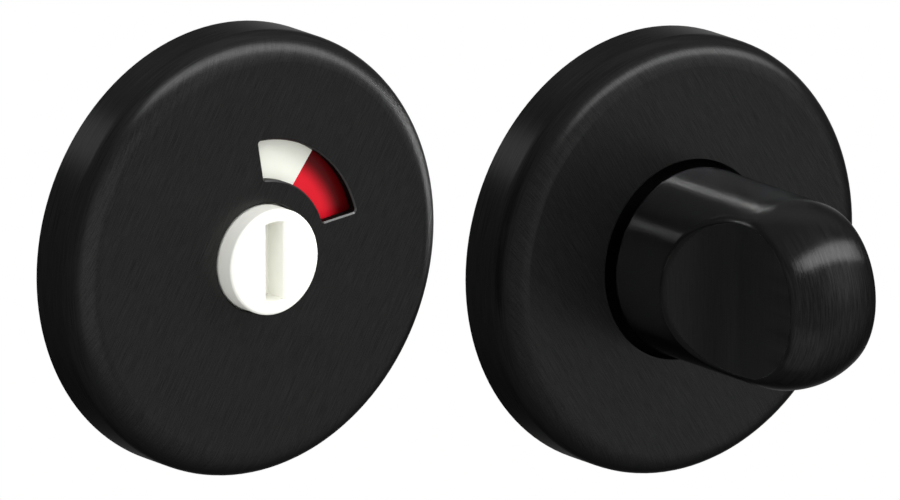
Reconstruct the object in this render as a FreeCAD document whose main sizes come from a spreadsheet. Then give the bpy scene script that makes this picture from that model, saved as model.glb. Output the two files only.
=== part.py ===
import FreeCAD, Part
import math
import os
import Sketcher

# Bathroom thumb turn lock: the inside half with its thumb turn, and the outside half with its
# coin release and its red and white indicator.
# Each piece is drawn in its own half's frame: x to the right, y up and z out of the door, with
# z = 0 on the door's face. Its Placement turns that frame so that +Z is up and the front faces -Y.

# Driving dimensions, in millimetres and degrees
DRIVING = {
    # The two halves as they stand beside each other, and the turn's own axis at the origin
    "release_x": -61.0,
    "release_z": 10.0,
    # Pressed covers
    "rose_radius": 26.0,
    "rose_height": 8.0,
    "rose_edge_radius": 3.2,
    "cover_wall": 1.2,
    "cover_inner_bevel": 1.2,
    "snap_groove_depth": 0.5,
    "snap_groove_bottom": 0.9,
    "snap_groove_width": 1.2,
    "turn_hole_radius": 11.75,
    "release_hole_radius": 6.4,
    "window_inner_radius": 9.05,
    "window_outer_radius": 13.75,
    "window_middle": 53.0,
    "window_inner_half": 35.0,
    "window_outer_half": 39.0,
    "window_corner": 0.35,
    "window_bevel": 0.2,
    "hole_bevel": 0.15,
    # How far a raw shape runs into what it joins, or past what it is cut from
    "overlap": 0.5,
    # Moulded bases
    "base_plate": 2.2,
    "snap_rib_height": 0.4,
    "snap_rib_bottom": 1.1,
    "snap_rib_width": 0.8,
    "upstand_outer": 24.0,
    "upstand_inner": 22.8,
    "upstand_top": 5.2,
    "clip_pocket_depth": 2.45,
    "clip_pocket_room": 0.7,
    "turn_hub_top": 5.0,
    "release_hub_top": 4.4,
    "hub_wall": 2.0,
    "rib_count": 6.0,
    "rib_width": 1.2,
    "rib_top": 4.0,
    "bolt_radius_from_axis": 19.0,
    "bolt_hole_radius": 2.15,
    "bolt_lug_radius": 3.4,
    "bolt_lug_length": 4.0,
    "screw_radius_from_axis": 17.0,
    "screw_line_angle": 55.0,
    "screw_boss_radius": 4.6,
    "screw_hole_radius": 2.1,
    "screw_seat_radius": 3.7,
    "screw_head_gap": 0.1,
    "screw_shank_radius": 1.9,
    "screw_top": 3.9,
    "screw_tip": -13.5,
    "screw_point_length": 4.2,
    "screw_cross_length": 3.8,
    "screw_cross_width": 0.7,
    "screw_cross_depth": 1.6,
    # Flanged bushes
    "running_gap": 0.05,
    "bush_wall": 1.6,
    "bush_flange": 0.8,
    "bush_bevel": 0.2,
    "turn_bush_flange_radius": 13.0,
    "release_bush_flange_radius": 9.0,
    # Coin release
    "coin_head_radius": 6.2,
    "coin_head_top": 10.4,
    "coin_head_edge": 0.35,
    "coin_slot_width": 2.5,
    "coin_slot_radius": 4.7,
    "coin_slot_depth": 3.0,
    "coin_slot_lip": 0.15,
    "coin_key_radius": 5.8,
    "coin_key_flat": 5.3,
    "coin_shank_radius": 5.2,
    "coin_socket": 5.2,
    "coin_socket_top": 6.2,
    # Indicator disc
    "disc_radius": 15.2,
    "disc_thickness": 1.0,
    "disc_gap": 0.1,
    "segment_inner": 7.4,
    "segment_outer": 14.8,
    "segment_sweep": 90.0,
    "segment_thickness": 0.5,
    # Thumb turn
    "knob_radius": 11.2,
    "knob_base": 8.7,
    "knob_tip": 37.6,
    "knob_corner": 10.4,
    "knob_crown": 12.2,
    "knob_rim": 0.7,
    "blade_thickness": 12.4,
    "scoop_radius": 9.6,
    "scoop_height": 26.4,
    "scoop_edge": 0.7,
    "knob_neck_radius": 8.4,
    "knob_shank_radius": 6.5,
    "knob_socket": 5.1,
    "knob_socket_top": 14.0,
    # Spindle
    "spindle_size": 5.0,
    "spindle_inner_end": 13.5,
    "spindle_outer_end": -20.0,
    "spindle_bevel": 0.4,
    "sleeve_size": 8.0,
    "sleeve_top": -4.0,
    "sleeve_bottom": -19.0,
    "pin_radius": 1.0,
    "pin_length": 12.8,
    "pin_height": 3.6,
    # Retaining clip and washers at the back of each hub
    "shank_end": 0.3,
    "clip_groove_depth": 0.6,
    "clip_groove_bottom": 0.55,
    "clip_groove_top": 1.25,
    "clip_bottom": 0.6,
    "clip_thickness": 0.6,
    "clip_width": 1.5,
    "clip_gap": 2.4,
    "clip_ear_radius": 1.0,
    "clip_ear_hole_radius": 0.45,
    "clip_ear_sink": 0.2,
    "washer_bottom": 1.25,
    "washer_thickness": 0.3,
    "washer_gap": 0.1,
    "washer_width": 2.4,
    "spring_bottom": 1.6,
    "spring_rise": 0.35,
    "spring_thickness": 0.35,
}

doc = FreeCAD.newDocument("bathroom_thumb_turn_lock")
sheet = doc.addObject("Spreadsheet::Sheet", "dims")
for row, (alias, number) in enumerate(DRIVING.items(), 1):
    sheet.set(f"A{row}", alias)
    sheet.set(f"B{row}", str(number))
    sheet.setAlias(f"B{row}", alias)
doc.recompute()


class Size:
    """A number and the sheet formula that gives it, so that a sketch and its binding agree."""

    def __init__(self, number, formula=None):
        self.number = float(number)
        self.formula = formula or f"({self.number!r})"

    def __add__(self, other):
        other = as_size(other)
        return Size(self.number + other.number, f"({self.formula} + {other.formula})")

    def __sub__(self, other):
        other = as_size(other)
        return Size(self.number - other.number, f"({self.formula} - {other.formula})")

    def __mul__(self, other):
        other = as_size(other)
        return Size(self.number * other.number, f"({self.formula} * {other.formula})")

    def __truediv__(self, other):
        other = as_size(other)
        return Size(self.number / other.number, f"({self.formula} / {other.formula})")

    def __radd__(self, other):
        return as_size(other) + self

    def __rsub__(self, other):
        return as_size(other) - self

    def __rmul__(self, other):
        return as_size(other) * self

    def __neg__(self):
        return Size(-self.number, f"(0 - {self.formula})")

    def root(self):
        return Size(math.sqrt(self.number), f"sqrt({self.formula})")

    def sine(self):
        return Size(math.sin(math.radians(self.number)), f"sin({self.formula})")

    def cosine(self):
        return Size(math.cos(math.radians(self.number)), f"cos({self.formula})")


def as_size(value):
    return value if isinstance(value, Size) else Size(value)


def dim(alias):
    """One driving dimension, read from the sheet."""
    return Size(sheet.get(alias), f"dims.{alias}")


def polar(radius, angle):
    """The point at a radius and an angle from the x axis."""
    return radius * angle.cosine(), radius * angle.sine()


def bind(target, path, size):
    target.setExpression(path, as_size(size).formula)


# Bodies, sketches and features

def new_body(label, half_x=None, half_z=None):
    """A body in its half's own frame, turned so that the front faces -Y."""
    body = doc.addObject("PartDesign::Body", label)
    body.Label = label
    turned = FreeCAD.Rotation(FreeCAD.Vector(1, 0, 0), 90)
    body.Placement = FreeCAD.Placement(FreeCAD.Vector(0, 0, 0), turned)
    if half_x is not None:
        bind(body, "Placement.Base.x", half_x)
        bind(body, "Placement.Base.z", half_z)
    return body


def on_release_half(label):
    return new_body(label, dim("release_x"), dim("release_z"))


def new_sketch(body, role, height=None):
    """A sketch on one of the body's origin planes, raised along the plane's normal by height."""
    plane = next(f for f in body.Origin.OriginFeatures if f.Role == role)
    sketch = body.newObject("Sketcher::SketchObject", body.Name + "_sketch")
    sketch.AttachmentSupport = [(plane, "")]
    sketch.MapMode = "FlatFace"
    if height is not None:
        bind(sketch, "AttachmentOffset.Base.z", height)
    return sketch


def front_sketch(body, height=None):
    return new_sketch(body, "XY_Plane", height)


def section_sketch(body):
    return new_sketch(body, "XZ_Plane")


def place_point(sketch, edge, end, x, y):
    """Fixes one end or centre of an edge at (x, y) from the sketch's origin."""
    for kind, axis, value in (("DistanceX", -2, as_size(x)), ("DistanceY", -1, as_size(y))):
        if abs(value.number) < 1e-9:
            sketch.addConstraint(Sketcher.Constraint("PointOnObject", edge, end, axis))
        else:
            number = sketch.addConstraint(
                Sketcher.Constraint(kind, -1, 1, edge, end, value.number)
            )
            bind(sketch, f"Constraints[{number}]", value)


def flat(x, y):
    return FreeCAD.Vector(as_size(x).number, as_size(y).number, 0)


def add_arc(sketch, start, end, bend):
    """An arc from start to end that bulges to the left of its way, or to the right if bend is
    negative. Returns the edge and its ends in the order (start, end)."""
    radius = abs(bend.number)
    side = math.copysign(1, bend.number)
    chord = end - start
    middle = (start + end) * 0.5
    right = FreeCAD.Vector(chord.y, -chord.x, 0).normalize()
    reach = math.sqrt(max(radius ** 2 - (chord.Length / 2) ** 2, 0.0))
    centre = middle + right * (side * reach)
    circle = Part.Circle(centre, FreeCAD.Vector(0, 0, 1), radius)
    angles = [math.atan2((p - centre).y, (p - centre).x) for p in (start, end)]
    ends = (2, 1) if side > 0 else (1, 2)
    first, last = (angles[1], angles[0]) if side > 0 else angles
    edge = sketch.addGeometry(Part.ArcOfCircle(circle, first, last), False)
    number = sketch.addConstraint(Sketcher.Constraint("Radius", edge, radius))
    bind(sketch, f"Constraints[{number}]", bend if side > 0 else -bend)
    return edge, ends


def outline(sketch, corners):
    """A closed outline. A corner is (x, y), or (x, y, bend) where the edge that leaves it is an
    arc of radius bend."""
    points = [flat(corner[0], corner[1]) for corner in corners]
    edges = []
    for i, corner in enumerate(corners):
        start, end = points[i], points[(i + 1) % len(points)]
        if len(corner) == 3:
            edges.append(add_arc(sketch, start, end, as_size(corner[2])))
        else:
            edges.append((sketch.addGeometry(Part.LineSegment(start, end), False), (1, 2)))
    for i, (edge, ends) in enumerate(edges):
        next_edge, next_ends = edges[(i + 1) % len(edges)]
        sketch.addConstraint(
            Sketcher.Constraint("Coincident", edge, ends[1], next_edge, next_ends[0])
        )
        place_point(sketch, edge, ends[0], corners[i][0], corners[i][1])
    return sketch


def rectangle(sketch, left, bottom, right, top):
    return outline(sketch, [(left, bottom), (right, bottom), (right, top), (left, top)])


def square(sketch, width):
    half = width / 2
    return rectangle(sketch, -half, -half, half, half)


def circle(sketch, radius, x=0, y=0):
    edge = sketch.addGeometry(
        Part.Circle(flat(x, y), FreeCAD.Vector(0, 0, 1), radius.number), False
    )
    number = sketch.addConstraint(Sketcher.Constraint("Radius", edge, radius.number))
    bind(sketch, f"Constraints[{number}]", radius)
    place_point(sketch, edge, 3, x, y)
    return sketch


def feature(body, kind, profile):
    made = body.newObject("PartDesign::" + kind, body.Name + "_" + kind.lower())
    made.Profile = profile
    return made


def volume_after(body):
    doc.recompute()
    return body.Shape.Volume


def must_change(body, before, made):
    """A feature that points away from the solid leaves it as it was and shows no error."""
    after = volume_after(body)
    if abs(after - before) < 1e-6:
        raise RuntimeError(f"{made.Name} in {body.Label} changes nothing")
    return made


def revolve(body, corners):
    """A turned solid from half its section, with x as radius and y as height."""
    sketch = outline(section_sketch(body), corners)
    turned = feature(body, "Revolution", sketch)
    turned.ReferenceAxis = (sketch, ["V_Axis"])
    turned.Angle = 360
    doc.recompute()
    return turned


def pad(body, sketch, length, downwards=False, both_ways=False):
    before = body.Shape.Volume if body.Shape.Solids else 0.0
    made = feature(body, "Pad", sketch)
    made.Reversed = downwards
    made.SideType = "Symmetric" if both_ways else "One side"
    bind(made, "Length", length)
    return must_change(body, before, made)


def pocket(body, sketch, depth=None, upwards=False, both_ways=False):
    """A cut below the sketch, or above it, by depth or right through."""
    before = volume_after(body)
    made = feature(body, "Pocket", sketch)
    made.Reversed = upwards
    made.SideType = "Symmetric" if both_ways else "One side"
    if depth is None:
        made.Type = "ThroughAll"
    else:
        bind(made, "Length", depth)
    return must_change(body, before, made)


def around(body, originals, count, sweep=360):
    """Repeats features evenly about the body's own axis."""
    axis = next(f for f in body.Origin.OriginFeatures if f.Role == "Z_Axis")
    before = volume_after(body)
    pattern = body.newObject("PartDesign::PolarPattern", body.Name + "_pattern")
    pattern.Originals = originals
    pattern.Axis = (axis, [""])
    pattern.Angle = sweep
    bind(pattern, "Occurrences", count)
    body.Tip = pattern
    return must_change(body, before, pattern)


def edges_where(body, wanted):
    """Names of the tip's edges for which wanted(edge) holds, in the body's own frame."""
    numbered = enumerate(body.Tip.Shape.Edges, 1)
    return [f"Edge{i}" for i, edge in numbered if not edge.Degenerated and wanted(edge)]


def dress(body, kind, size_name, size, wanted):
    """A fillet or chamfer on the edges that wanted picks."""
    before = volume_after(body)
    dressed = body.Tip
    names = edges_where(body, wanted)
    made = body.newObject("PartDesign::" + kind, body.Name + "_" + kind.lower())
    made.Base = (dressed, names)
    bind(made, size_name, size)
    return must_change(body, before, made)


def fillet(body, radius, wanted):
    return dress(body, "Fillet", "Radius", radius, wanted)


def chamfer(body, size, wanted):
    return dress(body, "Chamfer", "Size", size, wanted)


def ring_at(radius, height):
    """Picks circular edges about the z axis with this radius and height."""
    def wanted(edge):
        curve = edge.Curve
        return (
            isinstance(curve, Part.Circle)
            and abs(curve.Radius - radius.number) < 1e-4
            and abs(curve.Center.z - height.number) < 1e-4
            and math.hypot(curve.Center.x, curve.Center.y) < 1e-4
        )
    return wanted


def level_at(height, reach):
    """Picks edges that lie at this height and within this distance of the z axis."""
    def wanted(edge):
        box = edge.BoundBox
        far = max(math.hypot(v.Point.x, v.Point.y) for v in edge.Vertexes)
        return (
            abs(box.ZMin - height.number) < 1e-4
            and abs(box.ZMax - height.number) < 1e-4
            and far < reach.number + 1e-4
        )
    return wanted


# Pressed covers

def pressed_cover(body, hole_radius):
    """A round cap with a rolled front edge, an even wall, a snap groove inside and a hole."""
    radius, height, wall = dim("rose_radius"), dim("rose_height"), dim("cover_wall")
    roll, hole_bevel, inner_bevel = dim("rose_edge_radius"), dim("hole_bevel"), dim("cover_inner_bevel")
    inside, under = radius - wall, height - wall
    groove_bottom = dim("snap_groove_bottom")
    groove_top = groove_bottom + dim("snap_groove_width")
    groove_floor = inside + dim("snap_groove_depth")
    revolve(body, [
        (radius, 0),
        (radius, height - roll, -roll),
        (radius - roll, height),
        (hole_radius + hole_bevel, height),
        (hole_radius, height - hole_bevel),
        (hole_radius, under),
        (inside - inner_bevel, under),
        (inside, under - inner_bevel),
        (inside, groove_top),
        (groove_floor, groove_top),
        (groove_floor, groove_bottom),
        (inside, groove_bottom),
        (inside, 0),
    ])


def turn_cover():
    pressed_cover(new_body("turn_cover"), dim("turn_hole_radius"))


def release_cover():
    """The outside cover, with the arc-shaped indicator window above and right of its hole."""
    body = on_release_half("release_cover")
    pressed_cover(body, dim("release_hole_radius"))
    height, wall = dim("rose_height"), dim("cover_wall")
    inner, outer = dim("window_inner_radius"), dim("window_outer_radius")
    middle = dim("window_middle")
    inner_half, outer_half = dim("window_inner_half"), dim("window_outer_half")
    corners = [
        (*polar(inner, middle + inner_half), inner),
        polar(inner, middle - inner_half),
        (*polar(outer, middle - outer_half), -outer),
        polar(outer, middle + outer_half),
    ]
    pocket(body, outline(front_sketch(body, height), corners), wall * 2)

    def window_upright(edge):
        box = edge.BoundBox
        reach = math.hypot(box.Center.x, box.Center.y)
        as_long_as_wall = abs(box.ZLength - wall.number) < 1e-4
        return as_long_as_wall and inner.number - 1e-4 < reach < outer.number + 1e-4

    fillet(body, dim("window_corner"), window_upright)

    def window_rim(edge):
        box = edge.BoundBox
        off_axis = math.hypot(box.Center.x, box.Center.y) > dim("release_hole_radius").number
        return box.ZMin > height.number - 1e-4 and off_axis

    chamfer(body, dim("window_bevel"), window_rim)


# Moulded bases

def moulded_base(body, bore_radius, hub_top, pocket_radius):
    """A nylon plate that fits inside the cover, with a snap rib, an upstand, a hub, ribs, two
    bolt holes with lugs that key into the door, and two countersunk screw holes."""
    plate, top = dim("base_plate"), dim("upstand_top")
    edge, rib = dim("rose_radius") - dim("cover_wall"), dim("snap_rib_height")
    rib_low = dim("snap_rib_bottom")
    rib_high = rib_low + dim("snap_rib_width")
    hub_radius = pocket_radius + dim("hub_wall")
    deep = dim("clip_pocket_depth")
    revolve(body, [
        (pocket_radius, 0),
        (edge, 0),
        (edge, rib_low),
        (edge + rib, rib_low + rib / 2),
        (edge + rib, rib_high - rib / 2),
        (edge, rib_high),
        (edge, plate),
        (dim("upstand_outer"), plate),
        (dim("upstand_outer"), top),
        (dim("upstand_inner"), top),
        (dim("upstand_inner"), plate),
        (hub_radius, plate),
        (hub_radius, hub_top),
        (bore_radius, hub_top),
        (bore_radius, deep),
        (pocket_radius, deep),
    ])
    between = (dim("screw_line_angle") + 90) / 2
    along_x, along_y = polar(Size(1), between)
    half_rib = dim("rib_width") / 2
    near, far = hub_radius - dim("overlap"), dim("upstand_inner") + dim("overlap")
    spoke = outline(front_sketch(body, plate), [
        (near * along_x + half_rib * along_y, near * along_y - half_rib * along_x),
        (far * along_x + half_rib * along_y, far * along_y - half_rib * along_x),
        (far * along_x - half_rib * along_y, far * along_y + half_rib * along_x),
        (near * along_x - half_rib * along_y, near * along_y + half_rib * along_x),
    ])
    around(body, [pad(body, spoke, dim("rib_top") - plate)], dim("rib_count"))

    out = dim("bolt_radius_from_axis")
    lug = pad(body, circle(front_sketch(body, plate), dim("bolt_lug_radius"), 0, out),
              plate + dim("bolt_lug_length"), downwards=True)
    boss = pad(body, circle(front_sketch(body, plate), dim("bolt_lug_radius"), 0, out),
               dim("rib_top") - plate)
    hole = pocket(body, circle(front_sketch(body, dim("rib_top")), dim("bolt_hole_radius"), 0, out))
    around(body, [lug, boss, hole], 2)

    x, y = polar(dim("screw_radius_from_axis"), dim("screw_line_angle"))
    screw_top = dim("screw_top")
    seat = pad(body, circle(front_sketch(body, 0), dim("screw_boss_radius"), x, y), screw_top)
    shank_hole = pocket(
        body, circle(front_sketch(body, screw_top), dim("screw_hole_radius"), x, y)
    )
    around(body, [seat, shank_hole], 2)
    mouth, hole_radius = dim("screw_seat_radius"), dim("screw_hole_radius")

    def screw_mouth(edge):
        curve = edge.Curve
        return (
            isinstance(curve, Part.Circle)
            and abs(curve.Radius - hole_radius.number) < 1e-4
            and abs(curve.Center.z - screw_top.number) < 1e-4
        )

    chamfer(body, mouth - hole_radius, screw_mouth)


def pocket_radius(shank_radius):
    """Room for the clip and the washers round a shank."""
    return shank_radius + dim("washer_width") + dim("clip_pocket_room")


def turn_base():
    shank = dim("knob_shank_radius")
    bore = shank + dim("running_gap") + dim("bush_wall")
    moulded_base(new_body("turn_base"), bore, dim("turn_hub_top"), pocket_radius(shank))


def release_base():
    shank = dim("coin_shank_radius")
    bore = shank + dim("running_gap") + dim("bush_wall")
    moulded_base(on_release_half("release_base"), bore, dim("release_hub_top"), pocket_radius(shank))


# Bushes

def flanged_bush(body, shank_radius, hub_top, flange_radius):
    inner = shank_radius + dim("running_gap")
    outer = inner + dim("bush_wall")
    top = hub_top + dim("bush_flange")
    revolve(body, [
        (inner, dim("clip_pocket_depth")),
        (outer, dim("clip_pocket_depth")),
        (outer, hub_top),
        (flange_radius, hub_top),
        (flange_radius, top),
        (inner, top),
    ])
    chamfer(body, dim("bush_bevel"), ring_at(flange_radius, top))


def turn_bush():
    flanged_bush(new_body("turn_bush"), dim("knob_shank_radius"), dim("turn_hub_top"),
                 dim("turn_bush_flange_radius"))


def release_bush():
    flanged_bush(on_release_half("release_bush"), dim("coin_shank_radius"), dim("release_hub_top"),
                 dim("release_bush_flange_radius"))


# Wood screws

def wood_screws(body):
    """Two countersunk screws with cross recesses, one each side of the axis."""
    body.AllowCompound = True
    out = dim("screw_radius_from_axis")
    x, y = polar(out, dim("screw_line_angle"))
    top, tip = dim("screw_top") - dim("screw_head_gap"), dim("screw_tip")
    head, shank = dim("screw_seat_radius") - dim("screw_head_gap"), dim("screw_shank_radius")
    sketch = outline(section_sketch(body), [
        (out, tip),
        (out + shank, tip + dim("screw_point_length")),
        (out + shank, top - (head - shank)),
        (out + head, top),
        (out, top),
    ])
    turned = feature(body, "Revolution", sketch)
    turned.ReferenceAxis = (sketch, ["Edge5"])
    turned.Angle = 360
    doc.recompute()
    half_arm, half_slot = dim("screw_cross_length") / 2, dim("screw_cross_width") / 2
    recess = front_sketch(body, top)
    outline(recess, [
        (out - half_arm, -half_slot), (out - half_slot, -half_slot),
        (out - half_slot, -half_arm), (out + half_slot, -half_arm),
        (out + half_slot, -half_slot), (out + half_arm, -half_slot),
        (out + half_arm, half_slot), (out + half_slot, half_slot),
        (out + half_slot, half_arm), (out - half_slot, half_arm),
        (out - half_slot, half_slot), (out - half_arm, half_slot),
    ])
    cross = pocket(body, recess, dim("screw_cross_depth"))
    around(body, [turned, cross], 2)
    turn = FreeCAD.Rotation(FreeCAD.Vector(0, 0, 1), dim("screw_line_angle").number)
    body.Placement = body.Placement.multiply(FreeCAD.Placement(FreeCAD.Vector(), turn))


# Shafts that turn

def clip_groove(shank_radius):
    """The corners of the groove near a shank's end, from the shank's end upwards."""
    deep = shank_radius - dim("clip_groove_depth")
    return [
        (shank_radius, dim("shank_end")),
        (shank_radius, dim("clip_groove_bottom")),
        (deep, dim("clip_groove_bottom")),
        (deep, dim("clip_groove_top")),
        (shank_radius, dim("clip_groove_top")),
    ]


def disc_bottom():
    return dim("release_hub_top") + dim("bush_flange") + dim("disc_gap")


def coin_turn():
    """The white turned release: head with a coin slot, keyed seat for the disc and shank."""
    body = on_release_half("coin_turn")
    head, top = dim("coin_head_radius"), dim("coin_head_top")
    shank, key = dim("coin_shank_radius"), dim("coin_key_radius")
    seat = disc_bottom()
    shoulder = seat + dim("disc_thickness")
    revolve(body, [
        (0, dim("shank_end")),
        *clip_groove(shank),
        (shank, seat),
        (key, seat),
        (key, shoulder),
        (head, shoulder),
        (head, top),
        (0, top),
    ])
    fillet(body, dim("coin_head_edge"), ring_at(head, top))
    flat_side = dim("coin_key_flat")
    flats = front_sketch(body, shoulder)
    for side in (1, -1):
        near, far = flat_side * side, head * side
        outline(flats, [(near, -head), (far, -head), (far, head), (near, head)])
    pocket(body, flats, dim("disc_thickness"))
    half, ends = dim("coin_slot_width") / 2, dim("coin_slot_radius")
    rise = (ends * ends - half * half).root()
    slot = [(-half, -rise, -ends), (half, -rise), (half, rise, -ends), (-half, rise)]
    pocket(body, outline(front_sketch(body, top), slot), dim("coin_slot_depth"))
    chamfer(body, dim("coin_slot_lip"), level_at(top, ends))
    socket = square(front_sketch(body, 0), dim("coin_socket"))
    pocket(body, socket, dim("coin_socket_top"), upwards=True)


def indicator_disc():
    """The white disc behind the window, with a keyed hole and a recess for the red segment."""
    body = on_release_half("indicator_disc")
    seat, thick = disc_bottom(), dim("disc_thickness")
    pad(body, circle(front_sketch(body, seat), dim("disc_radius")), thick)
    gap = dim("running_gap")
    key, flat_side = dim("coin_key_radius") + gap, dim("coin_key_flat") + gap
    rise = (key * key - flat_side * flat_side).root()
    hole = [
        (flat_side, -rise), (flat_side, rise, -key),
        (-flat_side, rise), (-flat_side, -rise, -key),
    ]
    pocket(body, outline(front_sketch(body, seat + thick), hole))
    pocket(body, segment_outline(front_sketch(body, seat + thick)), dim("segment_thickness"))


def segment_outline(sketch):
    """A quarter of a ring, from the middle of the window clockwise."""
    inner, outer = dim("segment_inner"), dim("segment_outer")
    start = dim("window_middle")
    end = start - dim("segment_sweep")
    return outline(sketch, [
        (*polar(inner, start), inner),
        polar(inner, end),
        (*polar(outer, end), -outer),
        polar(outer, start),
    ])


def indicator_red_segment():
    body = on_release_half("indicator_red_segment")
    top = disc_bottom() + dim("disc_thickness")
    thick = dim("segment_thickness")
    pad(body, segment_outline(front_sketch(body, top - thick)), thick)


def thumb_turn():
    """The turned knob with a domed end, on a neck and a shank that run in the bush. A round cutter
    sinks in from each side and runs out over the tip, which leaves an upright blade for finger
    and thumb."""
    body = new_body("thumb_turn")
    radius, base, tip = dim("knob_radius"), dim("knob_base"), dim("knob_tip")
    corner, crown = dim("knob_corner"), dim("knob_crown")
    neck, shank = dim("knob_neck_radius"), dim("knob_shank_radius")
    shoulder = dim("turn_hub_top") + dim("bush_flange") + dim("disc_gap")
    crown_centre = tip - crown
    aside = radius - corner
    along = ((crown - corner) * (crown - corner) - aside * aside).root()
    corner_start = crown_centre + along
    meet = crown / (crown - corner)
    revolve(body, [
        (0, dim("shank_end")),
        *clip_groove(shank),
        (shank, shoulder),
        (neck, shoulder),
        (neck, base),
        (radius, base),
        (radius, corner_start, -corner),
        (aside * meet, crown_centre + along * meet, -crown),
        (0, tip),
    ])
    chamfer(body, dim("knob_rim"), ring_at(radius, base))
    scoop, start = dim("scoop_radius"), dim("scoop_height")
    near = dim("blade_thickness") / 2
    far, past_tip = near + scoop, tip + dim("overlap")
    for side in (1, -1):
        sketch = outline(section_sketch(body), [
            (far * side, start - scoop, scoop * side),
            (near * side, start),
            (near * side, past_tip),
            (far * side, past_tip),
        ])
        pocket(body, sketch, both_ways=True)

    def scooped(face):
        surface = face.Surface
        if isinstance(surface, Part.Cylinder):
            return abs(surface.Radius - scoop.number) < 1e-4
        box = face.BoundBox
        return box.XLength < 1e-6 and abs(abs(box.XMax) - near.number) < 1e-4

    def scoop_rim(edge):
        faces = body.Tip.Shape.ancestorsOfType(edge, Part.Face)
        return [scooped(face) for face in faces].count(True) == 1

    fillet(body, dim("scoop_edge"), scoop_rim)
    socket = square(front_sketch(body, 0), dim("knob_socket"))
    pocket(body, socket, dim("knob_socket_top"), upwards=True)
    cross_hole = circle(section_sketch(body), dim("pin_radius"), 0, dim("pin_height"))
    pocket(body, cross_hole, both_ways=True)


# Spindle

def spindle():
    """A square steel bar from inside the knob, through the door, to the other half."""
    body = new_body("spindle")
    far, near = dim("spindle_outer_end"), dim("spindle_inner_end")
    size = dim("spindle_size")
    pad(body, square(front_sketch(body, far), size), near - far)

    def end_edge(edge):
        box = edge.BoundBox
        return box.ZLength < 1e-6 and box.ZMin < far.number + 1e-6

    chamfer(body, dim("spindle_bevel"), end_edge)
    hole = circle(section_sketch(body), dim("pin_radius"), 0, dim("pin_height"))
    pocket(body, hole, both_ways=True)


def spindle_sleeve():
    """A square sleeve that makes the bar up to the follower of the lock case."""
    body = new_body("spindle_sleeve")
    bottom, top = dim("sleeve_bottom"), dim("sleeve_top")
    pad(body, square(front_sketch(body, bottom), dim("sleeve_size")), top - bottom)
    pocket(body, square(front_sketch(body, top), dim("knob_socket")))


def spindle_pin():
    """The cross pin through the shank and the bar, kept in by the bush."""
    body = new_body("spindle_pin")
    section = circle(section_sketch(body), dim("pin_radius"), 0, dim("pin_height"))
    pad(body, section, dim("pin_length"), both_ways=True)


# Clip and washers at the back of each hub

def retaining_clip(body, shank_radius):
    """A flat spring ring with two eared ends, seated in the shank's groove."""
    bottom, thick = dim("clip_bottom"), dim("clip_thickness")
    inner = shank_radius - dim("clip_groove_depth") + dim("running_gap")
    outer = inner + dim("clip_width")
    ring = circle(front_sketch(body, bottom), outer)
    pad(body, circle(ring, inner), thick)
    half_gap, ear = dim("clip_gap") / 2, dim("clip_ear_radius")
    gap_sketch = front_sketch(body, bottom + thick)
    pocket(body, rectangle(gap_sketch, -half_gap, 0, half_gap, outer + ear), thick)
    ears = front_sketch(body, bottom)
    holes = front_sketch(body, bottom + thick)
    for side in (1, -1):
        x, y = (half_gap + ear) * side, outer - dim("clip_ear_sink")
        circle(ears, ear, x, y)
        circle(holes, dim("clip_ear_hole_radius"), x, y)
    pad(body, ears, thick)
    pocket(body, holes, thick)


def flat_washer(body, shank_radius):
    ring = circle(front_sketch(body, dim("washer_bottom")), shank_radius + dim("washer_width"))
    pad(body, circle(ring, shank_radius + dim("washer_gap")), dim("washer_thickness"))


def spring_washer(body, shank_radius):
    """A thin ring bowed across one diameter, which takes up the shaft's end play."""
    outer, inner = shank_radius + dim("washer_width"), shank_radius + dim("washer_gap")
    low, rise, thick = dim("spring_bottom"), dim("spring_rise"), dim("spring_thickness")
    half = outer + dim("overlap")
    bend = (half * half + rise * rise) / (rise * 2)
    strip = outline(section_sketch(body), [
        (-half, low, bend), (half, low),
        (half, low + thick, -bend), (-half, low + thick),
    ])
    pad(body, strip, half * 2, both_ways=True)
    high = low + rise + thick
    pocket(body, circle(front_sketch(body, high), inner))
    around_it = circle(front_sketch(body, high), half * 2)
    pocket(body, circle(around_it, outer))


turn_cover()
turn_base()
turn_bush()
wood_screws(new_body("turn_wood_screws"))
thumb_turn()
spindle()
spindle_sleeve()
spindle_pin()
retaining_clip(new_body("turn_retaining_clip"), dim("knob_shank_radius"))
flat_washer(new_body("turn_flat_washer"), dim("knob_shank_radius"))
spring_washer(new_body("turn_spring_washer"), dim("knob_shank_radius"))

release_cover()
release_base()
release_bush()
wood_screws(on_release_half("release_wood_screws"))
coin_turn()
indicator_disc()
indicator_red_segment()
retaining_clip(on_release_half("release_retaining_clip"), dim("coin_shank_radius"))
flat_washer(on_release_half("release_flat_washer"), dim("coin_shank_radius"))
spring_washer(on_release_half("release_spring_washer"), dim("coin_shank_radius"))

doc.recompute()
failed = [o.Name for o in doc.Objects if {"Invalid", "Error"} & set(o.State)]
if failed:
    raise RuntimeError(f"these objects failed: {failed}")
bodies = [o for o in doc.Objects if o.TypeId == "PartDesign::Body"]
for body in bodies:
    if body.Shape.isNull() or not body.Shape.isValid():
        raise RuntimeError(f"{body.Label} has no valid shape")

os.makedirs("parts", exist_ok=True)
for body in bodies:
    body.Shape.exportStep(f"parts/{body.Label}.step")
    print(body.Label, len(body.Shape.Solids), round(body.Shape.Volume, 2))
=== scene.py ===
import math
import bpy
from mathutils import Matrix, Vector


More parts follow.
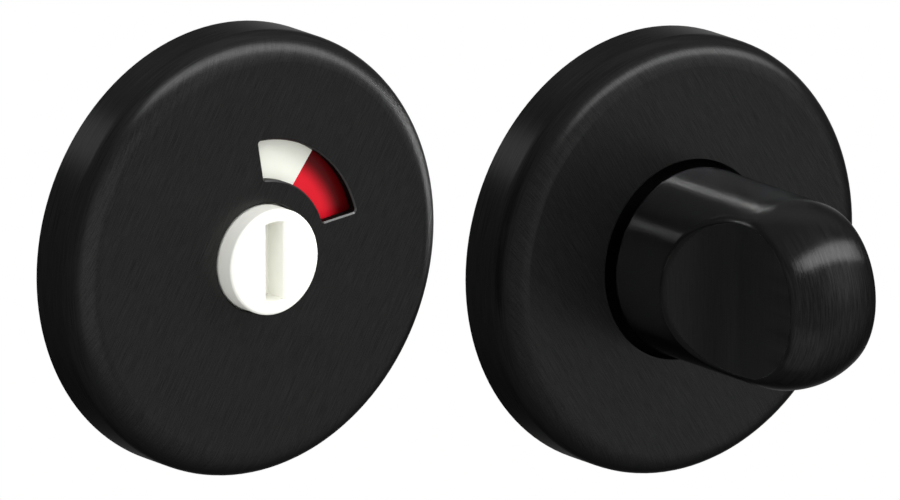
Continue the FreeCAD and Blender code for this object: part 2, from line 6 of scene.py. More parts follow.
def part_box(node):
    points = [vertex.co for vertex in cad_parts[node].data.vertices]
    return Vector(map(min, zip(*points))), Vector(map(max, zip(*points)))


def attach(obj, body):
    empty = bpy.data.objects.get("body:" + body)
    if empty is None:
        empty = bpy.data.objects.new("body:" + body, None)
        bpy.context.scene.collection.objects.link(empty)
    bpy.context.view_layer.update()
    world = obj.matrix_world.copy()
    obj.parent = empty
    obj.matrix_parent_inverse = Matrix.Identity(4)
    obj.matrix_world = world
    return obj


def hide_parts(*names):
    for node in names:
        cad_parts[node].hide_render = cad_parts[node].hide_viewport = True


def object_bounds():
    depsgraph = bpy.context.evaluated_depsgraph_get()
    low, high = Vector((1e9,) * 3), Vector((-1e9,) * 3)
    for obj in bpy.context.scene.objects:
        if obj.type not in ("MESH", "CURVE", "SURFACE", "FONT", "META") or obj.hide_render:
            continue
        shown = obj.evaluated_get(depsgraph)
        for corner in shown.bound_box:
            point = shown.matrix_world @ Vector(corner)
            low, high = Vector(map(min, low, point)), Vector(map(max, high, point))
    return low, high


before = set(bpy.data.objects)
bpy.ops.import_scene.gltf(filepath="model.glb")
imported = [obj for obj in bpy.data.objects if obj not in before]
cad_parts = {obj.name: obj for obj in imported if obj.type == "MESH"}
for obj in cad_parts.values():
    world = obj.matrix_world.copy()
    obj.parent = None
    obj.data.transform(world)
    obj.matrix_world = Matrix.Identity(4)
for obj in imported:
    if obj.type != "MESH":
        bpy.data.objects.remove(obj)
frame_low, frame_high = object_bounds()


# Moulded bases
# Each half screws to the door on a round plate of black glass-filled nylon, moulded with its hub,
# ribs, lugs and snap rib in one shot. The mould leaves the nylon dull and very finely grained.

class Signal:
    """One output of a node tree. Arithmetic on it adds Math nodes to the tree."""

    def __init__(self, tree, socket):
        self.tree, self.socket = tree, socket

    def math(self, operation, *values):
        return self.tree.node("Math", {"operation": operation}, dict(enumerate(values)))

    def __add__(self, other):
        return self.math("ADD", self, other)

    def __radd__(self, other):
        return self.math("ADD", other, self)

    def __sub__(self, other):
        return self.math("SUBTRACT", self, other)

    def __rsub__(self, other):
        return self.math("SUBTRACT", other, self)

    def __mul__(self, other):
        return self.math("MULTIPLY", self, other)

    def __rmul__(self, other):
        return self.math("MULTIPLY", other, self)

    def __truediv__(self, other):
        return self.math("DIVIDE", self, other)

    def between(self, low, high):
        """Rises smoothly from 0 at low to 1 at high."""
        ends = {"Value": self, "From Min": low, "From Max": high}
        return self.tree.node("MapRange", {"interpolation_type": "SMOOTHSTEP"}, ends)


class Tree:
    """The node tree of a material or of the world."""

    def __init__(self, owner):
        owner.use_nodes = True
        self.nodes, self.links = owner.node_tree.nodes, owner.node_tree.links

    def feed(self, socket, value):
        if isinstance(value, Signal):
            self.links.new(value.socket, socket)
        else:
            socket.default_value = value

    def node(self, kind, settings, inputs, output=0):
        """Adds a node, sets it up, fills its inputs and returns one of its outputs."""
        made = self.nodes.new("ShaderNode" + kind)
        for name, value in settings.items():
            setattr(made, name, value)
        for name, value in inputs.items():
            self.feed(made.inputs[name], value)
        return Signal(self, made.outputs[output])

    def parts(self, vector):
        """The x, y and z of a vector."""
        return [self.node("SeparateXYZ", {}, {"Vector": vector}, axis) for axis in range(3)]

    def vector(self, x, y, z):
        return self.node("CombineXYZ", {}, {"X": x, "Y": y, "Z": z})

    def noise(self, vector, scale, detail=2.0, roughness=0.5):
        wanted = {"Vector": vector, "Scale": scale, "Detail": detail, "Roughness": roughness}
        return self.node("TexNoise", {}, wanted)

    def blend(self, amount, low, high):
        """A colour that goes from low to high with amount."""
        made = self.nodes.new("ShaderNodeMix")
        made.data_type = "RGBA"
        for slot, value in ((0, amount), (6, low), (7, high)):
            self.feed(made.inputs[slot], value)
        return Signal(self, made.outputs[2])

    def bump(self, height, strength, depth):
        return self.node("Bump", {}, {"Height": height, "Strength": strength, "Distance": depth})


class Finish(Tree):
    """A surface finish: the node tree of a new material, with its surface node at hand."""

    def __init__(self, name):
        self.material = bpy.data.materials.new(name)
        super().__init__(self.material)
        self.surface = self.nodes["Principled BSDF"].inputs
        self.place = self.node("TexCoord", {}, {}, "Object")

    def set(self, **values):
        for name, value in values.items():
            self.feed(self.surface[name.replace("_", " ")], value)

    def cover_node(self, *names):
        """Gives the finish to frame pieces that keep their own mesh."""
        for name in names:
            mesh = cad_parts[name].data
            mesh.materials.clear()
            mesh.materials.append(self.material)


def grey(level, warmth=0.0):
    """A grey of a linear level, warmer or, below zero, cooler."""
    return (level * (1 + warmth), level, level * (1 - warmth), 1)


def moulded_nylon(name, level, gloss):
    nylon = Finish(name)
    cloud = nylon.noise(nylon.place, 260, 3)
    grain = nylon.noise(nylon.place, 7000, 2)
    nylon.set(
        Base_Color=nylon.blend(cloud, grey(level * 0.8), grey(level * 1.2)),
        Specular_IOR_Level=gloss,
        Roughness=0.5 + 0.2 * grain,
        Normal=nylon.bump(grain, 0.25, 2e-5),
    )
    return nylon


moulded_nylon("base_nylon", 0.010, 0.35).cover_node("turn_base", "release_base")


# Bushes
# A flanged bush of softer, self-lubricating nylon is pushed into each hub and keeps the shaft from
# wearing the base. It is made near-black with hardly any sheen, darker than the base, as painted
# shade so that the gap round the knob reads deep black.

moulded_nylon("bush_nylon", 0.002, 0.05).cover_node("turn_bush", "release_bush")


# Wood screws
# Two countersunk steel screws hold each base to the door. They are cold-headed with a cross recess,
# thread-rolled to a gimlet point and bright zinc plated.

MM = 0.001
SCREW_HEAD_RADIUS = 3.6 * MM
SCREW_SHANK_RADIUS = 1.9 * MM
SCREW_CORE_RADIUS = 1.3 * MM
SCREW_PITCH = 1.7 * MM
SCREW_POINT = 4.2 * MM
SCREW_PLAIN_NECK = 0.8 * MM
RECESS_WIDTH = 0.7 * MM
RECESS_LENGTH = 3.8 * MM
RECESS_DEPTH = 1.5 * MM
RINGS_PER_TURN = 14
SCREW_SIDES = 28
THREAD_SHARPNESS = 2.5


def only(piece):
    """Makes piece the one selected and active object."""
    bpy.ops.object.select_all(action="DESELECT")
    piece.select_set(True)
    bpy.context.view_layer.objects.active = piece


def turned(name, section, axis_x, axis_z, sides):
    """Draws half a section, as (radius, height out of the door), and spins it about an axis that
    stands square to the door."""
    bpy.ops.object.select_all(action="DESELECT")
    bpy.ops.mesh.primitive_plane_add(size=MM)
    piece = bpy.context.object
    piece.name = name
    bpy.ops.object.mode_set(mode="EDIT")
    bpy.ops.mesh.merge(type="CENTER")
    first_radius, first_height = section[0]
    bpy.ops.transform.translate(value=(axis_x + first_radius, -first_height, axis_z))
    for (radius, height), (next_radius, next_height) in zip(section, section[1:]):
        step = (next_radius - radius, height - next_height, 0)
        bpy.ops.mesh.extrude_region_move(TRANSFORM_OT_translate={"value": step})
    bpy.ops.mesh.select_all(action="SELECT")
    bpy.ops.mesh.spin(steps=sides, angle=math.tau, center=(axis_x, 0, axis_z), axis=(0, 1, 0))
    bpy.ops.mesh.select_all(action="SELECT")
    bpy.ops.mesh.remove_doubles(threshold=1e-7)
    bpy.ops.mesh.normals_make_consistent(inside=False)
    bpy.ops.object.mode_set(mode="OBJECT")
    return piece


def cut_away(piece, cutter):
    """Cuts the cutter's shape out of the piece."""
    only(piece)
    modifier = piece.modifiers.new("cut", "BOOLEAN")
    modifier.operation = "DIFFERENCE"
    modifier.solver = "EXACT"
    modifier.object = cutter
    bpy.ops.object.modifier_apply(modifier=modifier.name)
    bpy.data.objects.remove(cutter)


def block(width, depth, height, centre):
    """A box that cuts a slot or a socket: width along x, depth along y and height along z."""
    bpy.ops.object.select_all(action="DESELECT")
    bpy.ops.mesh.primitive_cube_add(size=1, location=centre)
    made = bpy.context.object
    made.scale = (width, depth, height)
    bpy.ops.object.transform_apply(location=True, rotation=True, scale=True)
    return made


def smooth_shaded(piece, angle):
    only(piece)
    bpy.ops.object.shade_smooth_by_angle(angle=math.radians(angle))


def wood_screw(name, axis_x, axis_z, top, tip):
    """One screw with its head at top and its point at tip, as heights out of the door."""
    thread_top = top - (SCREW_HEAD_RADIUS - SCREW_SHANK_RADIUS) - SCREW_PLAIN_NECK
    rings = round((thread_top - tip) / SCREW_PITCH * RINGS_PER_TURN)
    section = [(0, tip)]
    for highlight_ring in range(1, rings):
        section.append((SCREW_CORE_RADIUS, tip + (thread_top - tip) * highlight_ring / rings))
    section += [
        (SCREW_CORE_RADIUS, thread_top),
        (SCREW_SHANK_RADIUS, thread_top + SCREW_PLAIN_NECK / 2),
        (SCREW_SHANK_RADIUS, thread_top + SCREW_PLAIN_NECK),
        (SCREW_HEAD_RADIUS, top),
        (0, top),
    ]
    screw = turned(name, section, axis_x, axis_z, SCREW_SIDES)
    for vertex in screw.data.vertices:
        x, z, height = vertex.co.x - axis_x, vertex.co.z - axis_z, -vertex.co.y
        radius = math.hypot(x, z)
        if radius < 1e-7 or height > thread_top + 1e-7:
            continue
        turns = math.atan2(z, x) / math.tau - (height - tip) / SCREW_PITCH
        crest = abs(2 * (turns % 1) - 1) ** THREAD_SHARPNESS
        taper = min(1, (height - tip) / SCREW_POINT)
        run_out = min(1, (thread_top - height) / SCREW_PITCH)
        core = SCREW_CORE_RADIUS * taper
        thread = (SCREW_SHANK_RADIUS - SCREW_CORE_RADIUS) * crest * run_out * taper ** 0.5
        new_radius = core + thread
        vertex.co.x = axis_x + x / radius * new_radius
        vertex.co.z = axis_z + z / radius * new_radius
    middle = (axis_x, -top, axis_z)
    cut_away(screw, block(RECESS_LENGTH, RECESS_DEPTH * 2, RECESS_WIDTH, middle))
    cut_away(screw, block(RECESS_WIDTH, RECESS_DEPTH * 2, RECESS_LENGTH, middle))
    smooth_shaded(screw, 50)
    return screw


def plated_steel(name, level, roughness):
    """Bright plated steel: faintly clouded, with fine random rub marks."""
    steel = Finish(name)
    cloud = steel.noise(steel.place, 900, 4, 0.6)
    rubs = steel.noise(steel.place, 5000, 2)
    steel.set(
        Base_Color=steel.blend(cloud, grey(level * 0.82, 0.02), grey(level, -0.01)),
        Metallic=1.0,
        Roughness=roughness + 0.16 * cloud,
        Normal=steel.bump(rubs, 0.12, 1e-5),
    )
    return steel


zinc_plate = plated_steel("screw_zinc", 0.62, 0.24)

for half in ("turn", "release"):
    low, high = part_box(half + "_wood_screws")
    pair = []
    for corner_x, corner_z, inwards in ((high.x, high.z, -1), (low.x, low.z, 1)):
        pair.append(wood_screw(
            half + "_screws",
            corner_x + inwards * SCREW_HEAD_RADIUS,
            corner_z + inwards * SCREW_HEAD_RADIUS,
            -low.y,
            -high.y,
        ))
    only(pair[0])
    pair[1].select_set(True)
    bpy.ops.object.join()
    screws = bpy.context.object
    screws.data.materials.append(zinc_plate.material)
    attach(screws, "root")
    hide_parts(half + "_wood_screws")


# Clips and washers
# A flat washer and a bowed spring washer sit on each shaft behind the hub, and an eared spring ring
# in the shaft's groove holds them. The washers are plated and the springs are blued spring steel.

plated_steel("washer_plate", 0.55, 0.3).cover_node("turn_flat_washer", "release_flat_washer")

plated_steel("spring_blue", 0.16, 0.34).cover_node(
    "turn_retaining_clip", "turn_spring_washer", "release_retaining_clip", "release_spring_washer",
)


# Spindle
# The bar and its sleeve are cold-drawn square steel, sawn to length and zinc plated. Drawing leaves
# fine lines along them. A hardened pin crosses the shank and the bar.

def drawn_steel(name, level):
    steel = Finish(name)
    along = steel.node("Mapping", {}, {"Vector": steel.place, "Scale": (6000, 90, 6000)})
    lines = steel.noise(along, 1, 3, 0.6)
    steel.set(
        Base_Color=steel.blend(lines, grey(level * 0.8, 0.01), grey(level * 1.05, 0.01)),
        Metallic=1.0,
        Roughness=0.22 + 0.2 * lines,
        Normal=steel.bump(lines, 0.2, 1e-5),
    )
    return steel


drawn_steel("spindle_steel", 0.58).cover_node("spindle", "spindle_sleeve", "spindle_pin")


# Thumb turn
# The knob is turned from bar with a domed end and scooped on both sides with a round cutter, which
# leaves an upright blade. It is polished, brushed upright on the blade and plated black.

KNOB_SIDES = 384
KNOB_RADIUS = 11.2 * MM
KNOB_BASE = 8.7 * MM
KNOB_CORNER = 10.4 * MM
KNOB_CROWN = 12.2 * MM
KNOB_RIM = 0.7 * MM
KNOB_NECK = 8.4 * MM
KNOB_SHOULDER = 5.9 * MM
SHANK_RADIUS = 6.5 * MM
GROOVE_RADIUS = 5.9 * MM
GROOVE_BOTTOM, GROOVE_TOP = 0.55 * MM, 1.25 * MM
SCOOP_RADIUS = 9.6 * MM
SCOOP_HEIGHT = 26.4 * MM
BLADE_THICKNESS = 12.4 * MM
SCOOP_ROLL = 1.1 * MM
SCOOP_PROUD = 0.12 * MM
SOCKET_SIZE = 5.1 * MM
SOCKET_TOP = 14.0 * MM
PIN_RADIUS = 1.0 * MM
PIN_HEIGHT = 3.6 * MM
RIM_STEPS, SIDE_STEPS, CORNER_STEPS, CROWN_STEPS = 8, 110, 70, 20

turn_low, turn_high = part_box("thumb_turn")
knob_tip = -turn_low.y
shank_end = -turn_high.y


def arc(centre_radius, centre_height, radius, start, end, steps):
    """Points of a round stretch of a section from start to end degrees, but not the first one."""
    points = []
    for step in range(1, steps + 1):
        angle = math.radians(start + (end - start) * step / steps)
        points.append((
            centre_radius + radius * math.cos(angle),
            centre_height + radius * math.sin(angle),
        ))
    return points


def knob_section():
    """Half the knob's section, from the shank's end to the middle of the domed tip."""
    crown_height = knob_tip - KNOB_CROWN
    aside = KNOB_RADIUS - KNOB_CORNER
    corner_height = crown_height + math.sqrt((KNOB_CROWN - KNOB_CORNER) ** 2 - aside ** 2)
    meet = math.degrees(math.atan2(corner_height - crown_height, aside))
    side_start = KNOB_BASE + KNOB_RIM
    section = [
        (0, shank_end),
        (SHANK_RADIUS, shank_end),
        (SHANK_RADIUS, GROOVE_BOTTOM),
        (GROOVE_RADIUS, GROOVE_BOTTOM),
        (GROOVE_RADIUS, GROOVE_TOP),
        (SHANK_RADIUS, GROOVE_TOP),
        (SHANK_RADIUS, KNOB_SHOULDER),
        (KNOB_NECK, KNOB_SHOULDER),
        (KNOB_NECK, KNOB_BASE),
        (KNOB_RADIUS - KNOB_RIM, KNOB_BASE),
    ]
    section += arc(KNOB_RADIUS - KNOB_RIM, side_start, KNOB_RIM, -90, 0, RIM_STEPS)
    for step in range(1, SIDE_STEPS + 1):
        section.append((KNOB_RADIUS, side_start + (corner_height - side_start) * step / SIDE_STEPS))
    section += arc(aside, corner_height, KNOB_CORNER, 0, meet, CORNER_STEPS)
    section += arc(0, crown_height, KNOB_CROWN, meet, 90, CROWN_STEPS)
    return section


def scoop_depth(height):
    """How far from the knob's middle plane the scoop's surface lies at a height out of the door.
    The round cutter sinks in up to SCOOP_HEIGHT and then runs straight out over the tip."""
    along = min(max(SCOOP_HEIGHT - height, 0), SCOOP_RADIUS)
    return BLADE_THICKNESS / 2 + SCOOP_RADIUS - math.sqrt(SCOOP_RADIUS ** 2 - along ** 2)


def scoop_knob(knob):
    """Rolls the knob's edges, then moves the skin inside each scoop onto the cutter's surface, so
    that the scoop ends in a crisp line on the roll. Keeps the scoop's place for the brushing."""
    scooped = knob.data.attributes.new("scooped", "FLOAT", "POINT")
    for vertex in knob.data.vertices:
        height = -vertex.co.y
        if height < KNOB_BASE + KNOB_RIM / 2:
            continue
        before, depth = abs(vertex.co.x), scoop_depth(height)
        stock = depth + SCOOP_PROUD
        roll = max(SCOOP_ROLL - abs(before - stock), 0) / SCOOP_ROLL
        rolled = min(before, stock) - roll * roll * SCOOP_ROLL / 4
        vertex.co.x = math.copysign(max(min(rolled, depth), 0), vertex.co.x)
        scooped.data[vertex.index].value = 1.0 if rolled > depth else 0.0


knob = turned("thumb_turn_knob", knob_section(), 0, 0, KNOB_SIDES)
socket_middle = (0, -(shank_end + SOCKET_TOP) / 2 + MM, 0)
cut_away(knob, block(SOCKET_SIZE, SOCKET_TOP + 2 * MM - shank_end, SOCKET_SIZE, socket_middle))
bpy.ops.object.select_all(action="DESELECT")
bpy.ops.mesh.primitive_cylinder_add(
    vertices=48, radius=PIN_RADIUS, depth=SHANK_RADIUS * 3, location=(0, -PIN_HEIGHT, 0),
)
cut_away(knob, bpy.context.object)
scoop_knob(knob)
smooth_shaded(knob, 40)


def black_plate(name):
    """Black plated metal under a thin lacquer: nearly neutral, and hardly brighter at a slant."""
    plate = Finish(name)
    plate.set(Metallic=0.9, Specular_Tint=grey(0.34))
    return plate


BLACK_DARK, BLACK_LIGHT = grey(0.026), grey(0.058)
TIP_BRUSHED_FROM, TIP_BRUSHED_FULLY = 8 * MM, 3 * MM


def streaks_around(finish, x, y, z, fine):
    """Faint lines round an axis square to the door, from x and z measured from that axis."""
    radius = finish.node("Math", {"operation": "SQRT"}, {0: x * x + z * z + 1e-9})
    around = finish.vector(x / radius * 5, y * fine, z / radius * 5)
    return 0.3 + 0.4 * finish.noise(around, 1, 3, 0.6)


turned_black = black_plate("turn_black")
knob_x, knob_y, knob_z = turned_black.parts(turned_black.place)
scoop_mask = turned_black.node("Attribute", {"attribute_name": "scooped"}, {}, "Fac")
tip_mask = (0 - knob_y).between(knob_tip - TIP_BRUSHED_FROM, knob_tip - TIP_BRUSHED_FULLY)
upright_mask = turned_black.node("Math", {"operation": "MAXIMUM"}, {0: scoop_mask, 1: tip_mask})
round_lines = streaks_around(turned_black, knob_x, knob_y, knob_z, 8000)
fine_lines = turned_black.noise(
    turned_black.vector(knob_x * 9000, knob_y * 9000, knob_z * 260), 1, 3, 0.6
)
coarse_lines = turned_black.noise(
    turned_black.vector(knob_x * 5000, 0.0, knob_z * 300), 1, 3, 0.6
)
upright_lines = 0.3 + 0.4 * fine_lines + tip_mask * (1.2 * coarse_lines - 0.6)
knob_lines = round_lines + upright_mask * (upright_lines - round_lines)
turned_black.set(
    Base_Color=turned_black.blend(knob_lines.between(0.15, 0.85), BLACK_DARK, BLACK_LIGHT),
    Roughness=0.14 + 0.22 * scoop_mask + 0.1 * knob_lines,
    Normal=turned_black.bump(knob_lines * (1 + 3 * tip_mask), 0.4, 1.2e-5),
)
knob.data.materials.append(turned_black.material)
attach(knob, "turn")
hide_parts("thumb_turn")


# Coin release
# The outside shaft is one piece, turned and slotted for a coin, and its head is stove-enamelled
# white. The enamel is thick enough to round the slot's edges and has a very slight orange peel.

enamel = Finish("release_white")
enamel_peel = enamel.noise(enamel.place, 1500, 2)
enamel_shade = enamel.noise(enamel.place, 220, 3)
enamel.set(
    Base_Color=enamel.blend(enamel_shade, (0.89, 0.89, 0.83, 1), (0.93, 0.93, 0.87, 1)),
    Roughness=0.36 + 0.1 * enamel_peel,
    Normal=enamel.bump(enamel_peel, 0.15, 2e-5),
)
enamel.cover_node("coin_turn")


# Indicator
# A white moulded disc turns with the coin release behind the window. A quarter ring of satin red is
# let into its face, so the window shows white when the lock is open and red when it is shut. The
# red is darkened towards its outer edge as painted shade, standing for the shadow of the window's
# wall.

RED_PAINTED_SHADE_FROM, RED_PAINTED_SHADE_FULLY = 10.4 * MM, 12.8 * MM

disc_white = Finish("indicator_white")
disc_cloud = disc_white.noise(disc_white.place, 500, 3)
disc_white.set(
    Base_Color=disc_white.blend(disc_cloud, (0.88, 0.89, 0.79, 1), (0.92, 0.93, 0.84, 1)),
    Roughness=0.3 + 0.1 * disc_cloud,
)
disc_white.cover_node("indicator_disc")

disc_red = Finish("indicator_red")
red_cloud = disc_red.noise(disc_red.place, 700, 3)
release_low, release_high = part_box("coin_turn")
release_axis = (release_low + release_high) / 2
red_x, _, red_z = disc_red.parts(
    disc_red.node("Mapping", {}, {"Vector": disc_red.place, "Location": -release_axis})
)
red_out = disc_red.node("Math", {"operation": "SQRT"}, {0: red_x * red_x + red_z * red_z})
# Painted shade: the red darkens to near black towards its outer edge, where the window's wall
# shades it.
red_painted_shade = red_out.between(RED_PAINTED_SHADE_FROM, RED_PAINTED_SHADE_FULLY)
bright_red = disc_red.blend(red_cloud, (0.72, 0.008, 0.022, 1), (0.80, 0.012, 0.028, 1))
disc_red.set(
    Base_Color=disc_red.blend(red_painted_shade, bright_red, (0.10, 0.001, 0.002, 1)),
    Roughness=0.25 + 0.1 * red_cloud,
    Specular_IOR_Level=0.2,
)
disc_red.cover_node("indicator_red_segment")


# Covers
# Each cover is pressed from steel sheet with a rolled front edge and snaps over its base. The face
# is belt-brushed in one straight line, the edge is brushed round, and both are plated black.

WINDOW_FROM, WINDOW_TO = 8.5 * MM, 14.4 * MM
EDGE_BRUSHED_FROM, EDGE_BRUSHED_FULLY = 1.4 * MM, 0.2 * MM
PAINTED_HIGHLIGHT_DEPTH, PAINTED_HIGHLIGHT_FADE = 0.2 * MM, 0.05 * MM
HIGHLIGHT_RING_FADE = 0.1 * MM


def brushed_cover(node, lean, highlight_from=0.0, highlight_to=0.0):
    """The plated finish of one cover, with its face brushed along a line that leans by lean
    degrees from level. Its bevelled edge just below the face, between two distances from its axis,
    is painted a lighter grey as a painted highlight."""
    low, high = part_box(node)
    middle = (low + high) / 2
    radius, depth = (high.x - low.x) / 2, high.y - low.y
    plate = black_plate(node + "_plate")
    centred = plate.node("Mapping", {}, {"Vector": plate.place, "Location": -middle})
    x, y, z = plate.parts(centred)
    lean_cos, lean_sin = math.cos(math.radians(lean)), math.sin(math.radians(lean))
    along, across = x * lean_cos + z * lean_sin, z * lean_cos - x * lean_sin
    long_lines = plate.noise(plate.vector(along * 200, across * 9500, 0.0), 1, 3, 0.6)
    short_lines = plate.noise(plate.vector(along * 600, across * 14000, 7.0), 1, 2, 0.5)
    grain = plate.noise(plate.place, 8000, 1)
    face_lines = 0.4 * long_lines + 0.3 * short_lines + 0.3 * grain
    edge_lines = streaks_around(plate, x, y, z, 7000)
    out = plate.node("Math", {"operation": "SQRT"}, {0: x * x + z * z})
    edge_mask = out.between(radius - EDGE_BRUSHED_FROM, radius - EDGE_BRUSHED_FULLY)
    lines = face_lines + edge_mask * (edge_lines - face_lines)
    black = plate.blend(lines.between(0.33, 0.67), BLACK_DARK, BLACK_LIGHT)
    # Painted highlight: the bevel just below the face, between the two given distances from the
    # axis, is lightened to grey.
    if highlight_to:
        below_face = y + depth / 2
        too_deep = below_face.between(PAINTED_HIGHLIGHT_DEPTH, PAINTED_HIGHLIGHT_DEPTH + PAINTED_HIGHLIGHT_FADE)
        painted_highlight = below_face.between(0, PAINTED_HIGHLIGHT_FADE) * (1 - too_deep)
        too_far_out = out.between(highlight_to, highlight_to + HIGHLIGHT_RING_FADE)
        highlight_ring = out.between(highlight_from, highlight_from + HIGHLIGHT_RING_FADE) * (1 - too_far_out)
        black = plate.blend(painted_highlight * highlight_ring, black, grey(0.13))
    plate.set(
        Base_Color=black,
        Roughness=0.22 + 0.16 * lines,
        Normal=plate.bump(lines, 0.4, 1e-5),
    )
    plate.cover_node(node)


brushed_cover("release_cover", 60, WINDOW_FROM, WINDOW_TO)
brushed_cover("turn_cover", -57)


# Studio
# A pale floor well below the lock, a white backdrop and soft lamps, with the camera at the angle
# that shows both halves from the left and a little above.

world = bpy.data.worlds.new("studio")
bpy.context.scene.world = world
sky = Tree(world)
sky_x, sky_y, sky_z = sky.parts(sky.node("TexCoord", {}, {}, "Generated"))


def glow(towards, edge, full):
    """1 in a direction and 0 beyond an edge round it, both as cosines."""
    x, y, z = Vector(towards).normalized()
    return (sky_x * x + sky_y * y + sky_z * z).between(edge, full)


DIM_ROOM = 0.12
LIT_ROOM = 0.80
room = (
    DIM_ROOM
    + 0.12 * glow((0, -1, 0), 0.0, 0.7)
    + 0.12 * glow((1, 0, 0), 0.0, 0.8)
    + 0.12 * glow((0, 0, 1), 0.7, 0.95)
    + 0.35 * glow((0.55, 0.70, 0.45), 0.6, 0.95)
    + 0.35 * glow((0.64, -0.70, 0.30), 0.85, 1.0)
)
seen = sky.node("LightPath", {}, {}, "Is Camera Ray")
mirrored = sky.node("LightPath", {}, {}, "Is Glossy Ray")
through = sky.node("LightPath", {}, {}, "Is Transmission Ray")
scattered = sky.node("LightPath", {}, {}, "Is Diffuse Ray")
mirrored_behind = mirrored * glow((0, 1, 0), 0.94, 1.0)
backdrop = sky.node("Math", {"operation": "MAXIMUM"}, {0: seen + through, 1: mirrored_behind})
around_lock = room + scattered * (LIT_ROOM - room)
background = sky.nodes["Background"].inputs
background["Color"].default_value = grey(1.0)
sky.feed(background["Strength"], around_lock + backdrop * (1 - around_lock))

FLOOR_DROP = 0.35
FLOOR_SIZE = 8.0
FLOOR_SHEEN = 0.04
bpy.ops.object.select_all(action="DESELECT")
bpy.ops.mesh.primitive_plane_add(size=FLOOR_SIZE, location=(0, 0, frame_low.z - FLOOR_DROP))
floor = bpy.context.object
floor.name = "floor"
bpy.ops.object.transform_apply(location=True, rotation=True, scale=True)
pale = Finish("pale_floor")
floor_seen = pale.node("LightPath", {}, {}, "Is Camera Ray")
floor_scattered = pale.node("LightPath", {}, {}, "Is Diffuse Ray")
floor_level = (
    DIM_ROOM + FLOOR_SHEEN
    + floor_seen * (1 - FLOOR_SHEEN - DIM_ROOM)
    + floor_scattered * (LIT_ROOM - DIM_ROOM)
)
floor_light = pale.node("Emission", {}, {"Color": grey(1.0), "Strength": floor_level})
pale.links.new(floor_light.socket, pale.nodes["Material Output"].inputs["Surface"])
floor.data.materials.append(pale.material)
floor.visible_glossy = False

lock_middle = (frame_low + frame_high) / 2
RELEASE_PIECES = ("release_", "coin_", "indicator_")
LAMP_DISTANCE = 0.6


def softbox(name, towards, along, length, width, level, lit=(), shaded_by=()):
    """A rectangular lamp of an even level that faces the lock from a direction, with its length
    along a line. It lights only the pieces in lit, or all if none is named, and only the pieces
    in shaded_by stand in its way, or all if none is named. A mirrored ray still meets the other
    pieces, so such a lamp is found by its own rays alone."""
    lamp = bpy.data.lights.new(name, "AREA")
    lamp.shape = "RECTANGLE"
    lamp.size, lamp.size_y = length, width
    lamp.energy = level * math.pi * length * width
    stand = bpy.data.objects.new(name, lamp)
    bpy.context.scene.collection.objects.link(stand)
    away = Vector(towards).normalized()
    across = away.cross(Vector(along)).normalized()
    stand.location = lock_middle + away * LAMP_DISTANCE
    stand.rotation_mode = "QUATERNION"
    axes = Matrix((across.cross(away), across, away)).transposed()
    stand.rotation_quaternion = axes.to_quaternion()
    stand.visible_camera = False
    for pieces, role in ((lit, "receiver_collection"), (shaded_by, "blocker_collection")):
        if pieces:
            linked = bpy.data.collections.new(name + "_" + role)
            for piece in pieces:
                linked.objects.link(piece)
            setattr(stand.light_linking, role, linked)
    lamp.cycles.use_multiple_importance_sampling = not shaded_by
    return stand


release_half = [node for name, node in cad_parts.items() if name.startswith(RELEASE_PIECES)]
turn_half = [node for name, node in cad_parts.items() if not name.startswith(RELEASE_PIECES)]
turn_face = [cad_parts["turn_cover"]]
softbox("release_key", (0.44, -0.50, 0.75), (0.74, -0.01, -0.67), 1.4, 0.25, 3.4, release_half)
softbox(
    "release_edge", (0.97, -0.05, -0.08), (0, 1, 0), 0.40, 0.24, 6.0, release_half, release_half,
)
softbox("release_fill", (-0.45, -0.88, -0.05), (0, 0, 1), 0.7, 0.7, 0.35, release_half)
softbox("turn_key", (0.55, -0.57, 0.62), (0.80, 0.50, -0.28), 1.0, 0.19, 3.4, [knob, *turn_half])
softbox("turn_fill", (0.55, -0.80, -0.20), (0, 0, 1), 0.7, 0.7, 0.11, turn_face, turn_face)
softbox("rim", (-0.42, 0.77, 0.48), (0.7, 0, 0.7), 0.16, 0.16, 1.3)
softbox("ridge", (0.34, 0.76, 0.58), (-0.85, 0, 0.53), 0.05, 0.16, 9.0, [knob], [knob])
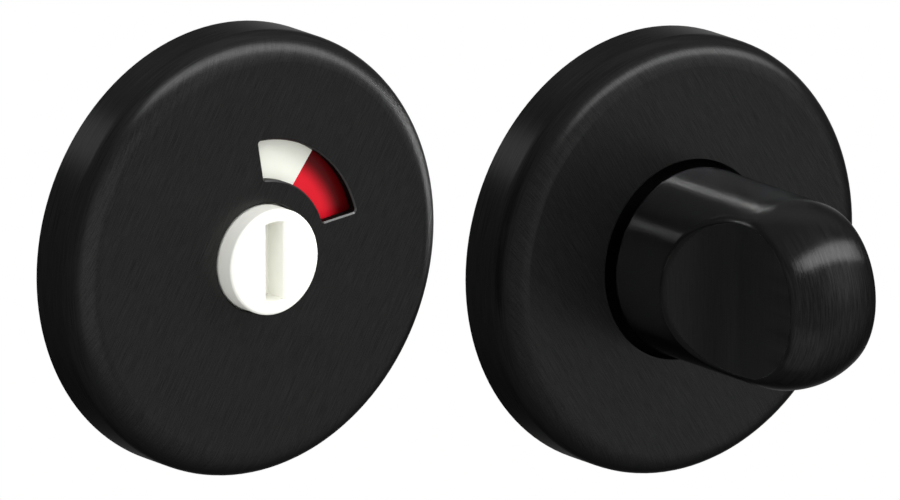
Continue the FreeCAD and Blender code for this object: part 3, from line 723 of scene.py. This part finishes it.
softbox("shoulder", (-0.41, 0.77, 0.45), (0.7, 0, 0.7), 0.05, 0.2, 1.6, [knob], [knob])
softbox("above_ridge", (0.55, 0.76, 0.30), (0, 0, 1), 0.35, 0.3, 0.6, [knob], [knob])
softbox("below_ridge", (-0.03, 0.77, 0.63), (1, 0, 0), 0.3, 0.2, 0.2, [knob], [knob])
softbox("behind_knob", (-0.58, 0.77, -0.26), (0, 0, 1), 0.8, 0.8, 0.14, [knob], [knob])
softbox("below_knob", (-0.10, -0.55, -0.83), (1, 0, 0), 0.6, 0.6, 0.16, [knob])
softbox("slant", (0.36, -0.74, 0.57), (1, 0, 0), 0.2, 0.2, 4.2, release_half).visible_glossy = False
softbox("side", (-0.90, -0.35, 0.20), (0, 0, 1), 0.3, 0.3, 1.5, release_half).visible_glossy = False

AZIMUTH, ELEVATION = math.radians(-37), math.radians(15)
CAMERA_DISTANCE = 2.465
SENSOR_WIDTH = 36
FRAME_WIDTH, FRAME_HEIGHT = 900, 500
PIXELS_PER_METRE = 8620
TURN_AXIS_PIXEL = (644.3, 245.0)
back = Vector((
    math.sin(AZIMUTH) * math.cos(ELEVATION),
    -math.cos(AZIMUTH) * math.cos(ELEVATION),
    math.sin(ELEVATION),
))
right = Vector((math.cos(AZIMUTH), math.sin(AZIMUTH), 0))
up = back.cross(right)
aim = (
    right * ((FRAME_WIDTH / 2 - TURN_AXIS_PIXEL[0]) / PIXELS_PER_METRE)
    - up * ((FRAME_HEIGHT / 2 - TURN_AXIS_PIXEL[1]) / PIXELS_PER_METRE)
)
camera = bpy.data.objects.new("camera", bpy.data.cameras.new("camera"))
bpy.context.scene.collection.objects.link(camera)
camera.data.sensor_width = SENSOR_WIDTH
camera.data.lens = PIXELS_PER_METRE * CAMERA_DISTANCE * SENSOR_WIDTH / FRAME_WIDTH
camera.location = aim + back * CAMERA_DISTANCE
camera.rotation_mode = "QUATERNION"
camera.rotation_quaternion = back.to_track_quat("Z", "Y")
bpy.context.scene.camera = camera
bpy.context.scene.view_settings.view_transform = "Standard"
